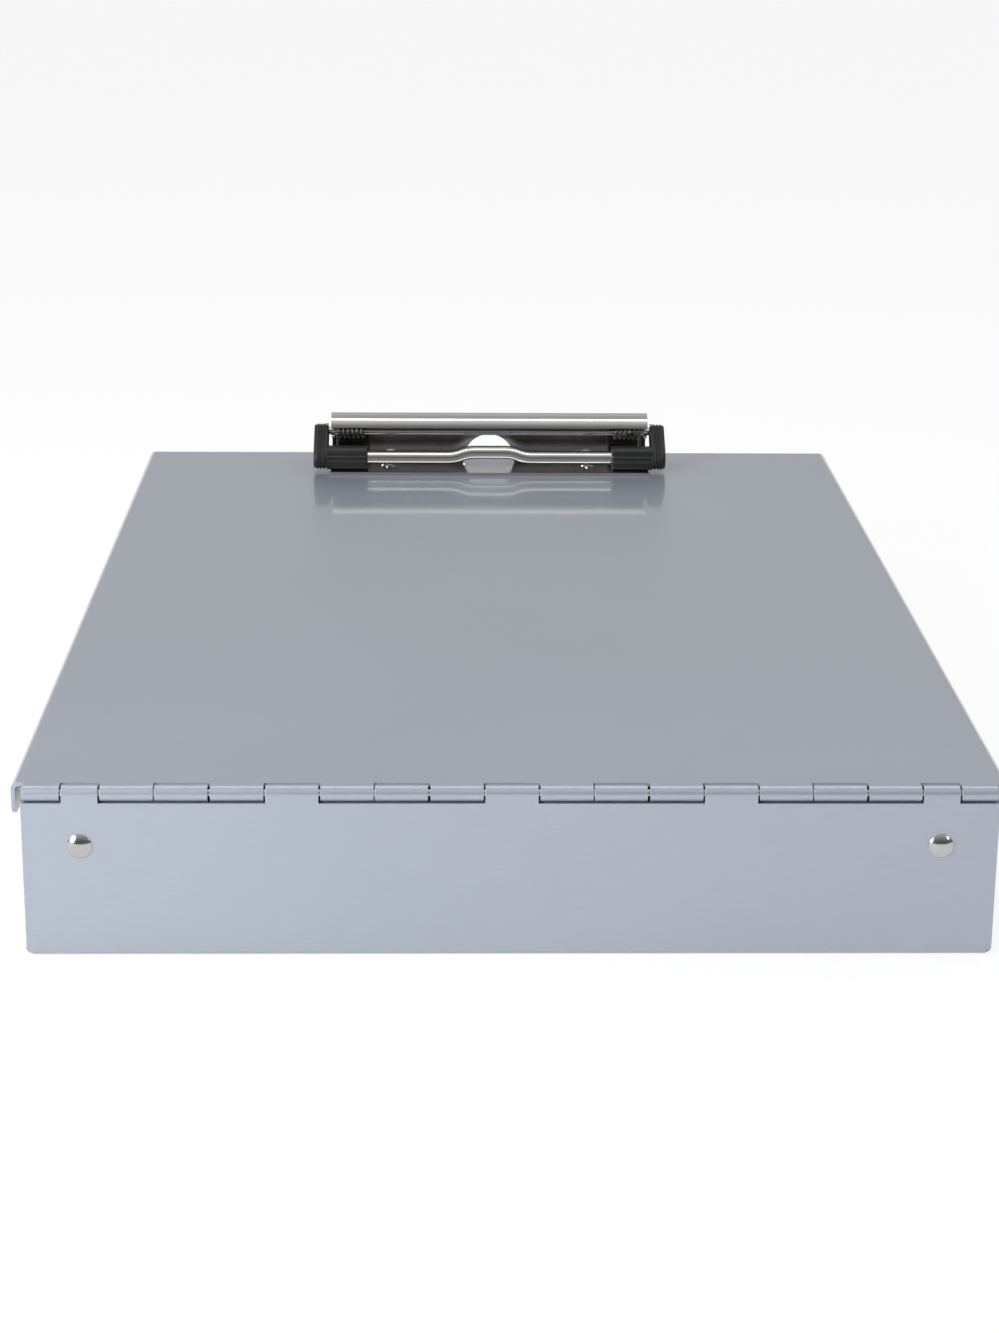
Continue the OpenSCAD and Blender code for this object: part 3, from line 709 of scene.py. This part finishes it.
arm = carried(belt(BAR, ARM_BAR_R, PIVOT[1:], ARM_ROD_R), [ARM_IN, ARM_OUT], 0)
bail_piece = mesh_object("bail_bar", [bar_grid(), arm, flipped(arm)], wrap=True, caps=True)
finish_piece(bail_piece, "bail", "clip_bail", "clip_nickel", edge=0.12)
print("bail:", len(bail_piece.data.polygons), "faces")

# %% [markdown]
# ## The grips
# Black moulded covers sit on the ends of the bail. Each has a flat cover over the arm, with
# three ridges for the finger, and a foot round the end of the bar, which rests on the base.
# The cover is a belt outline whose distance from the arm follows a profile across its width:
# rounded rims, and a smooth bump for each ridge. The foot is a rounded box carried along X,
# with two low ribs along its face.

# %% Grips
# The cover's radii round the bar and round the rod, its outer face, and its reach along the
# arm as a share of the arm.
GRIP_BAR_R = 3.6
GRIP_ROD_R = 3.2
GRIP_OUT = ARM_OUT + 3.6
GRIP_REACH = 0.88
# Radius of the rounded rims.
RIM = 0.6
# Height of a ridge, its half width and its place as shares of the step from ridge to ridge.
RIDGE = 0.35
RIDGE_HALF = 0.24
RIDGE_PLACE = 0.3
# Depth of the foot's ribs, and their places and half width as shares of its face's height.
RIB = 0.3
RIB_PLACES = (1 / 3, 2 / 3)
RIB_HALF = 0.075
# The foot's two ends along X, its lower front and upper back corner, and its corners' radius.
FOOT_IN = clip_high[0] - 12.3
FOOT_OUT = ARM_IN + 0.4
FOOT_LOW = np.array([BAR[0] - 3.4, TOP + STRIP + 0.05])
FOOT_HIGH = BAR + (2.8, 3.7)
FOOT_R = 1.5


def rounded_rim(x, low, high):
    """How far a surface falls back near its ends: r - sqrt(r^2 - (r - distance)^2)."""
    near = np.clip(RIM - np.minimum(x - low, high - x), 0, RIM)
    return RIM - np.sqrt(RIM ** 2 - near ** 2)


def cover_grid():
    """Cover over the arm: a belt outline whose radii change across its width."""
    rim = RIM * (1 - np.cos(np.radians(np.linspace(0, 90, 6))))
    ridged = np.linspace(ARM_OUT - 0.4, GRIP_OUT - RIM, 33)
    xs = np.unique(np.concatenate([ARM_IN + rim, GRIP_OUT - rim, ridged]))
    step = (GRIP_OUT - ARM_OUT - RIM) / 3
    centres = ARM_OUT + step * (np.arange(3) + RIDGE_PLACE)
    bumps = np.exp(-((xs[:, None] - centres) / (RIDGE_HALF * step)) ** 4).sum(1)
    offset = RIDGE * bumps - rounded_rim(xs, ARM_IN, GRIP_OUT)
    rod_end = BAR + GRIP_REACH * (PIVOT[1:] - BAR)
    return np.stack([carried(belt(BAR, GRIP_BAR_R + e, rod_end, GRIP_ROD_R + e), [x], 0)[0]
                     for x, e in zip(xs, offset)])


def foot_grid(corner_steps=7):
    """Foot: a rounded box on axes Y and Z, carried along X and rounded at its inner end. Its
    outer end lies inside the cover, so it needs no rim and the far limit is past it."""
    centres = np.array([(FOOT_HIGH[0], FOOT_HIGH[1]), (FOOT_LOW[0], FOOT_HIGH[1]), FOOT_LOW,
                        (FOOT_HIGH[0], FOOT_LOW[1])])
    inwards = np.array([(-1, -1), (1, -1), (1, 1), (-1, 1)])
    rim = RIM * (1 - np.cos(np.radians(np.linspace(0, 90, 6))))
    xs = np.concatenate([FOOT_IN + rim, [FOOT_IN + RIM + EASE, FOOT_OUT]])
    back = rounded_rim(xs, FOOT_IN, FOOT_OUT + 2 * RIM)
    a = np.radians(np.linspace(0, 90, corner_steps))
    rows = []
    for e in back:
        arcs = [
            circle_points(centres[k] + inwards[k] * FOOT_R, FOOT_R - e, a + k * np.pi / 2)
            for k in range(4)
        ]
        face = np.linspace(arcs[1][-1], arcs[2][0], 26)[1:-1]
        rise = (face[:, 1] - FOOT_LOW[1] - FOOT_R) / (FOOT_HIGH[1] - FOOT_LOW[1] - 2 * FOOT_R)
        ribs = np.exp(-((rise[:, None] - RIB_PLACES) / RIB_HALF) ** 4).sum(1)
        face[:, 0] -= RIB * ribs * (1 - e / RIM)
        rows.append(np.concatenate([arcs[0], arcs[1], face, arcs[2], arcs[3]]))
    return np.concatenate([xs[:, None, None] * np.ones((1, len(rows[0]), 1)), np.stack(rows)], 2)


for side in ("left", "right"):
    grids = [cover_grid(), foot_grid()]
    if side == "left":
        grids = [flipped(grid) for grid in grids]
    piece = mesh_object(f"grip_{side}", grids, wrap=True, caps=True)
    finish_piece(piece, "bail", f"clip_grip_{side}", "grip_rubber", edge=0.08)
    print(piece.name, len(piece.data.polygons), "faces")

# %% [markdown]
# ## The springs
# A torsion spring sits on the rod behind each foot. Its wire comes up the back wall, winds
# six turns round the rod, and turns in through the rod. The path is one array of points, and
# a circle carried along it makes the wire.

# %% Springs
WIRE_R = 0.5
COIL_GAP = 0.45
COIL_R = ROD_R + COIL_GAP + WIRE_R
COIL_OUT = clip_high[0] - STRIP - COIL_GAP - WIRE_R
# The coil's turns and the step between them, the leg's length and the radius of the tang's arc.
TURNS = 6
TURN_STEP = 1.5
LEG = 7.0
TANG_R = 0.7
# Where the tang goes in and out of the rod, from the rod's axis.
TANG_REACH = np.array([0.6, -0.5])


def spring_path(per_turn=28):
    """Leg, helix and tang as points from the rod's middle. The helix is
    (start - step a / 2 pi, r cos(a), r sin(a)), and the tang turns in on a small arc."""
    back = clip_high[1] - STRIP - WIRE_R - PIVOT[1]
    z = -LEG * (1 - np.linspace(0, 1, 9))
    leg = np.stack([np.full_like(z, COIL_OUT), back + (COIL_R - back) * (1 + z / LEG) ** 2, z], 1)[:-1]
    a = np.linspace(0, 2 * np.pi * TURNS, TURNS * per_turn + 1)
    turns = np.stack([COIL_OUT - TURN_STEP * a / (2 * np.pi), COIL_R * np.cos(a), COIL_R * np.sin(a)], 1)
    off = COIL_R - TANG_R
    tilt = math.asin(TANG_R / off)
    b = np.linspace(0, np.pi / 2 + tilt, 9)[1:]
    inner = turns[-1, 0]
    tang = np.stack([np.full_like(b, inner), off + TANG_R * np.cos(b), TANG_R * np.sin(b)], 1)
    end = np.stack([np.full(2, inner), TANG_REACH * math.cos(tilt), TANG_REACH * math.sin(tilt)], 1)
    return np.concatenate([leg, turns, tang, end]) + (0, PIVOT[1], PIVOT[2])


def wire_grid(path, radius, sides=14):
    """Circle carried along a path: the path's direction is the difference of its neighbours,
    and the circle's axes are its cross products with X."""
    ahead = np.gradient(path, axis=0)
    ahead /= np.linalg.norm(ahead, axis=1)[:, None]
    u = np.cross(ahead, (1, 0, 0))
    u /= np.linalg.norm(u, axis=1)[:, None]
    v = np.cross(ahead, u)
    a = np.linspace(0, 2 * np.pi, sides, endpoint=False)[None, :, None]
    return path[:, None] + radius * (np.cos(a) * u[:, None] + np.sin(a) * v[:, None])


for side in ("left", "right"):
    grid = wire_grid(spring_path(), WIRE_R)
    if side == "left":
        grid = flipped(grid)
    piece = mesh_object(f"spring_wire_{side}", [grid], wrap=True, caps=True)
    finish_piece(piece, "lid", f"clip_spring_{side}", "spring_steel", edge=0)
    print(piece.name, len(piece.data.polygons), "faces")

# %% [markdown]
# ## Finishes
# Three effects are shared by several finishes, so each is a node group that is built once:
# grain, which is fine noise that can be stretched along one axis as rolling or brushing
# leaves it; blotches, which are the slow, soft changes of an anodised or handled surface;
# and the edges, which are found by comparing the normal with a rounded one and then made
# lighter, partly as metal rubbed bare and partly as a painted highlight along them.

# %% Node helpers


def new_group(name, inputs, outputs):
    """Node group with sockets given as (name, kind, value)."""
    group = bpy.data.node_groups.new(name, "ShaderNodeTree")
    for label, kind, value in inputs:
        socket = group.interface.new_socket(label, in_out="INPUT", socket_type=kind)
        socket.default_value = value
    for label, kind in outputs:
        group.interface.new_socket(label, in_out="OUTPUT", socket_type=kind)
    return group, group.nodes.new("NodeGroupInput"), group.nodes.new("NodeGroupOutput")


def add(tree, kind, inputs=None, **settings):
    """Node with its settings, and its inputs by name or number: a value, or a socket to link."""
    node = tree.nodes.new(kind)
    for label, value in settings.items():
        setattr(node, label, value)
    for label, value in (inputs or {}).items():
        if isinstance(value, bpy.types.NodeSocket):
            tree.links.new(value, node.inputs[label])
        else:
            node.inputs[label].default_value = value
    return node


def result(tree, operation, first, second, clamp=False):
    """Socket with the result of a Math node on two values."""
    node = add(tree, "ShaderNodeMath", {0: first, 1: second}, operation=operation, use_clamp=clamp)
    return node.outputs[0]


def between(tree, value, low, high, start=0.0, end=1.0):
    """Socket with a value moved from the range start to end to the range low to high."""
    inputs = {"Value": value, "From Min": start, "From Max": end, "To Min": low, "To Max": high}
    return add(tree, "ShaderNodeMapRange", inputs).outputs[0]


def mixed(tree, factor, first, second):
    """Socket with two colours mixed by a factor."""
    return add(tree, "ShaderNodeMix", {0: factor, 6: first, 7: second}, data_type="RGBA").outputs[2]


print("helpers for nodes are ready")

# %% Shared effects
FLOAT, VECTOR = "NodeSocketFloat", "NodeSocketVector"
POSITION = ("Position", VECTOR, (0, 0, 0))
# Breadth of a lightened edge, in metres, and the scale of the noise that breaks it up. An
# edge is lightened partly as metal rubbed bare and partly as a painted highlight.
WEAR_AND_SHEEN_BREADTH = 0.0004
WEAR_AND_SHEEN_GRAIN = 900.0


def grain_effect():
    """Fine noise on the position, which is stretched first."""
    group, given, out = new_group(
        "grain", [POSITION, ("Stretch", VECTOR, (1, 1, 1)), ("Scale", FLOAT, 1000.0)], [("Value", FLOAT)])
    stretched = add(group, "ShaderNodeVectorMath",
                    {0: given.outputs["Position"], 1: given.outputs["Stretch"]}, operation="MULTIPLY")
    noise = {"Vector": stretched.outputs[0], "Scale": given.outputs["Scale"], "Detail": 2.0,
             "Roughness": 0.6}
    group.links.new(add(group, "ShaderNodeTexNoise", noise).outputs[0], out.inputs["Value"])
    return group


def blotch_effect():
    """Large soft noise, a little distorted."""
    group, given, out = new_group("blotches", [POSITION, ("Scale", FLOAT, 10.0)], [("Value", FLOAT)])
    noise = {"Vector": given.outputs["Position"], "Scale": given.outputs["Scale"], "Detail": 3.0,
             "Roughness": 0.5, "Distortion": 0.6}
    group.links.new(add(group, "ShaderNodeTexNoise", noise).outputs[0], out.inputs["Value"])
    return group


def wear_and_sheen_effect():
    """Edges, where the rounded normal times the plain one falls under 0.98, times noise. The
    mask lightens edges as metal rubbed bare and as a painted highlight.
    """
    group, given, out = new_group(
        "edge_wear_and_sheen", [POSITION, ("Breadth", FLOAT, WEAR_AND_SHEEN_BREADTH)], [("Mask", FLOAT)])
    rounded = add(group, "ShaderNodeBevel", {"Radius": given.outputs["Breadth"]}, samples=4)
    plain = add(group, "ShaderNodeNewGeometry")
    agree = add(group, "ShaderNodeVectorMath", {0: rounded.outputs[0], 1: plain.outputs["Normal"]},
                operation="DOT_PRODUCT")
    edge = between(group, agree.outputs["Value"], 0.0, 1.0, 0.98, 0.8)
    noise = {"Vector": given.outputs["Position"], "Scale": WEAR_AND_SHEEN_GRAIN, "Detail": 2.0}
    broken = add(group, "ShaderNodeTexNoise", noise)
    group.links.new(result(group, "MULTIPLY", edge, broken.outputs[0]), out.inputs["Mask"])
    return group


grain_group = grain_effect()
blotch_group = blotch_effect()
wear_and_sheen_group = wear_and_sheen_effect()
print("groups:", [group.name for group in bpy.data.node_groups])

# %% [markdown]
# A finish starts from two colours that the grain and the blotches mix, which the edge mask
# then lightens, partly as metal rubbed bare and partly as a painted highlight. The same
# masks move the roughness, and the grain makes the bump, so colour, gloss and relief agree
# with each other. Numbers that are the same all over the surface are set on the shader
# itself.

# %% A finish


def finish(name, colours, worn_and_sheen_colour, roughness, metallic, grain, blotch, relief, coat=(0.0, 0.1, 1.5), wear_and_sheen_share=0.6,
           specular=0.5):
    """Material of one surface: colours mixed by grain and blotches, edges lightened as metal
    rubbed bare and as a painted highlight, and relief from the grain. grain is (stretch,
    scale), and coat is weight, roughness and IOR."""
    material = bpy.data.materials.new(name)
    material.use_nodes = True
    tree = material.node_tree
    shader = tree.nodes["Principled BSDF"]
    position = add(tree, "ShaderNodeTexCoord").outputs["Object"]

    def effect(group, inputs):
        node = add(tree, "ShaderNodeGroup", node_tree=group)
        tree.links.new(position, node.inputs["Position"])
        for label, value in inputs.items():
            node.inputs[label].default_value = value
        return node.outputs[0]

    fine = effect(grain_group, {"Stretch": grain[0], "Scale": grain[1]})
    slow = effect(blotch_group, {"Scale": blotch})
    mask = between(tree, result(tree, "ADD", fine, slow), 0.0, 1.0, 0.5, 1.5)
    colour = mixed(tree, mask, (*colours[0], 1), (*colours[1], 1))
    # The edges are lightened towards one colour: metal rubbed bare, and a painted highlight.
    edges = effect(wear_and_sheen_group, {"Breadth": WEAR_AND_SHEEN_BREADTH})
    amount = between(tree, edges, 0.0, wear_and_sheen_share)
    tree.links.new(mixed(tree, amount, colour, (*worn_and_sheen_colour, 1)), shader.inputs["Base Color"])
    tree.links.new(between(tree, mask, *roughness), shader.inputs["Roughness"])
    bump = add(tree, "ShaderNodeBump", {"Height": fine, "Strength": 1.0, "Distance": relief})
    tree.links.new(bump.outputs[0], shader.inputs["Normal"])
    shader.inputs["Metallic"].default_value = metallic
    shader.inputs["Specular IOR Level"].default_value = specular
    shader.inputs["Coat Weight"].default_value = coat[0]
    shader.inputs["Coat Roughness"].default_value = coat[1]
    shader.inputs["Coat IOR"].default_value = coat[2]
    return material


print("a finish is ready to be given its numbers")

# %% [markdown]
# The case is anodised sheet: its base is only half metallic, under a thin clear coat, which
# gives the faint sharp mirror image of the clip that lies on the lid. Its grain is stretched
# along X, as it was rolled. The clip and the rivets are nickel plated, the pin and the rod are
# drawn wire, and the grips are black rubber with a soft shine.

# %% All finishes
# Each finish's edge colour and share lighten its edges as metal rubbed bare and as a painted highlight.
finishes = {
    "case_aluminium": finish(
        "satin_aluminium",
        colours=((0.345, 0.385, 0.45), (0.395, 0.435, 0.51)),
        worn_and_sheen_colour=(0.54, 0.57, 0.62),
        roughness=(0.36, 0.44),
        metallic=0.5,
        grain=((0.06, 1, 1), 2600.0),
        blotch=9.0,
        relief=2e-6,
        coat=(1.0, 0.08, 1.5),
    ),
    "clip_nickel": finish(
        "bright_nickel",
        colours=((0.60, 0.585, 0.56), (0.68, 0.665, 0.64)),
        worn_and_sheen_colour=(0.78, 0.77, 0.75),
        roughness=(0.10, 0.16),
        metallic=1.0,
        grain=((0.1, 1, 1), 1800.0),
        blotch=60.0,
        relief=1.5e-6,
    ),
    "rivet_nickel": finish(
        "rivet_nickel",
        colours=((0.46, 0.46, 0.455), (0.54, 0.54, 0.53)),
        worn_and_sheen_colour=(0.7, 0.7, 0.69),
        roughness=(0.12, 0.2),
        metallic=1.0,
        grain=((1, 1, 1), 2400.0),
        blotch=300.0,
        relief=2e-6,
    ),
    "bright_steel": finish(
        "drawn_steel",
        colours=((0.46, 0.47, 0.48), (0.54, 0.55, 0.56)),
        worn_and_sheen_colour=(0.7, 0.7, 0.7),
        roughness=(0.16, 0.26),
        metallic=1.0,
        grain=((0.05, 1, 1), 3000.0),
        blotch=120.0,
        relief=2e-6,
    ),
    "spring_steel": finish(
        "spring_wire",
        colours=((0.07, 0.07, 0.07), (0.12, 0.118, 0.115)),
        worn_and_sheen_colour=(0.25, 0.25, 0.25),
        roughness=(0.24, 0.34),
        metallic=1.0,
        grain=((1, 1, 1), 2600.0),
        blotch=200.0,
        relief=3e-6,
    ),
    "grip_rubber": finish(
        "moulded_rubber",
        colours=((0.008, 0.008, 0.008), (0.018, 0.019, 0.018)),
        worn_and_sheen_colour=(0.05, 0.05, 0.05),
        roughness=(0.32, 0.44),
        metallic=0.0,
        grain=((1, 1, 1), 3200.0),
        blotch=150.0,
        relief=8e-6,
        wear_and_sheen_share=0.3,
        specular=0.4,
    ),
}
for piece in finished:
    piece.data.materials.clear()
    piece.data.materials.append(finishes[piece["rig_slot"]])
print(len(finished), "pieces have their finish")

# %% [markdown]
# ## The studio
# The light is plain and soft: a world that changes slowly from the horizon behind the box,
# over the top, to a dim horizon in front, so that a rolled edge shows soft bands, as the
# photograph's does. Rays from the camera and through glass see it white. Mirrored rays see
# that white too where the backdrop stands, which is low behind the box. The rest of what
# metal mirrors is the studio, or a bright roll would have no dark bands.

# %% World
# A mirrored ray sees all white up to the first angle over the horizon behind the box, and no
# white from the second on, in degrees.
BACKDROP = (8, 13)
# The world's level at angles from the horizon behind the box, over the top, to the one in
# front, in degrees.
SKY = [
    (0, 0.5), (12, 0.42), (26, 0.42), (38, 0.64), (46, 0.72), (56, 0.56), (66, 0.5),
    (90, 0.46), (104, 0.72), (121, 0.76), (136, 0.46), (151, 0.26), (166, 0.13),
]


def studio_world():
    """World that looks up its level by the angle arctan2(Z, Y) / pi of a ray."""
    world = bpy.data.worlds.new("studio")
    world.use_nodes = True
    tree = world.node_tree
    ray = add(tree, "ShaderNodeLightPath")
    axes = add(tree, "ShaderNodeSeparateXYZ", {0: add(tree, "ShaderNodeTexCoord").outputs["Generated"]})
    share = result(tree, "DIVIDE", result(tree, "ARCTAN2", axes.outputs["Z"], axes.outputs["Y"]), math.pi)
    sky = add(tree, "ShaderNodeValToRGB", {0: share})
    stops = sky.color_ramp.elements
    stops.remove(stops[1])
    for number, (angle, level) in enumerate(SKY):
        stop = stops.new(angle / 180) if number else stops[0]
        stop.color = (level, level, level, 1)
    low_behind = between(tree, share, 1.0, 0.0, BACKDROP[0] / 180, BACKDROP[1] / 180)
    mirrored = result(tree, "MULTIPLY", ray.outputs["Is Glossy Ray"], low_behind)
    direct = result(tree, "ADD", ray.outputs["Is Camera Ray"], ray.outputs["Is Transmission Ray"])
    white = result(tree, "ADD", direct, mirrored, clamp=True)
    shown = mixed(tree, white, sky.outputs[0], (1, 1, 1, 1))
    tree.links.new(shown, tree.nodes["Background"].inputs["Color"])
    return world


bpy.context.scene.world = studio_world()
print("world:", bpy.context.scene.world.name)

# %% [markdown]
# The floor is white paper. Rays from the camera, through glass and from polished metal see it
# partly glow, so that it stays white in the picture, and the rest of it takes the soft shadow
# under the box.

# %% Floor
FLOOR_R = 6000.0
FLOOR_Z = -0.02
PAPER_WHITE = (0.88, 0.88, 0.88, 1)
PAPER_GLOW = 1.06
GLOW_SHARE = 0.78


def floor_disc(rings=12, steps=72):
    """Flat disc in polar coordinates: (r cos(a), r sin(a), z), with the rings closer together
    near the middle."""
    r = FLOOR_R * np.linspace(0, 1, rings)[:, None] ** 2
    a = np.linspace(0, 2 * np.pi, steps, endpoint=False)
    return np.stack([r * np.cos(a), r * np.sin(a), np.full((rings, steps), FLOOR_Z)], -1)


def white_paper():
    """Matt white that glows in part for the rays that show it."""
    paper = bpy.data.materials.new("white_paper")
    paper.use_nodes = True
    tree = paper.node_tree
    ray = add(tree, "ShaderNodeLightPath")
    lit = tree.nodes["Principled BSDF"]
    lit.inputs["Base Color"].default_value = PAPER_WHITE
    lit.inputs["Roughness"].default_value = 0.9
    lit.inputs["Specular IOR Level"].default_value = 0.0
    glow = add(tree, "ShaderNodeEmission", {"Color": (1, 1, 1, 1), "Strength": PAPER_GLOW})
    direct = result(tree, "ADD", ray.outputs["Is Camera Ray"], ray.outputs["Is Transmission Ray"])
    shown = result(tree, "ADD", direct, ray.outputs["Is Glossy Ray"], clamp=True)
    part = result(tree, "MULTIPLY", shown, GLOW_SHARE)
    seen = add(tree, "ShaderNodeMixShader", {0: part, 1: lit.outputs[0], 2: glow.outputs[0]})
    tree.links.new(seen.outputs[0], tree.nodes["Material Output"].inputs["Surface"])
    return paper


floor = mesh_object("studio_floor", [floor_disc()], wrap=True)
floor.data.materials.append(white_paper())
print("floor:", floor.name)

# %% [markdown]
# Three softboxes shape the metal. A long strip above draws the bright line along the bail and
# the roll, one at the left lightens the left half of the front wall and its row of knuckles,
# and a weak one at the right lifts the shadows there.

# %% Lamps


def softbox(name, place, target, size, power):
    """Rectangular lamp at a place in metres, turned so that its -Z axis points at the target."""
    data = bpy.data.lights.new(name, "AREA")
    data.shape = "RECTANGLE"
    data.size, data.size_y = size
    data.energy = power
    lamp = bpy.data.objects.new(name, data)
    bpy.context.scene.collection.objects.link(lamp)
    back = np.subtract(place, target)
    back /= np.linalg.norm(back)
    overhead = abs(back[2]) > 0.99
    side = np.array([1.0, 0, 0]) if overhead else np.cross((0, 0, 1), back)
    side /= np.linalg.norm(side)
    matrix = np.eye(4)
    matrix[:3] = np.stack([side, np.cross(back, side), back, place], 1)
    lamp.matrix_world = matrix.T.tolist()


softbox("lamp_above", (0, 0.05, 0.55), (0, 0.05, 0), size=(1.2, 0.1), power=1.35)
softbox("lamp_left", (-0.6, -0.6, 0.32), (0, -0.15, 0.02), size=(0.22, 0.4), power=6.5)
softbox("lamp_right", (1.1, -0.9, 0.7), (0, -0.15, 0.02), size=(0.3, 0.4), power=1)
print("lamps:", [lamp.name for lamp in bpy.data.lights])

# %% [markdown]
# ## Hand over
# The view settings stay plain, so that colours render as they are written.

# %% Hand over
bpy.context.scene.view_settings.view_transform = "Standard"
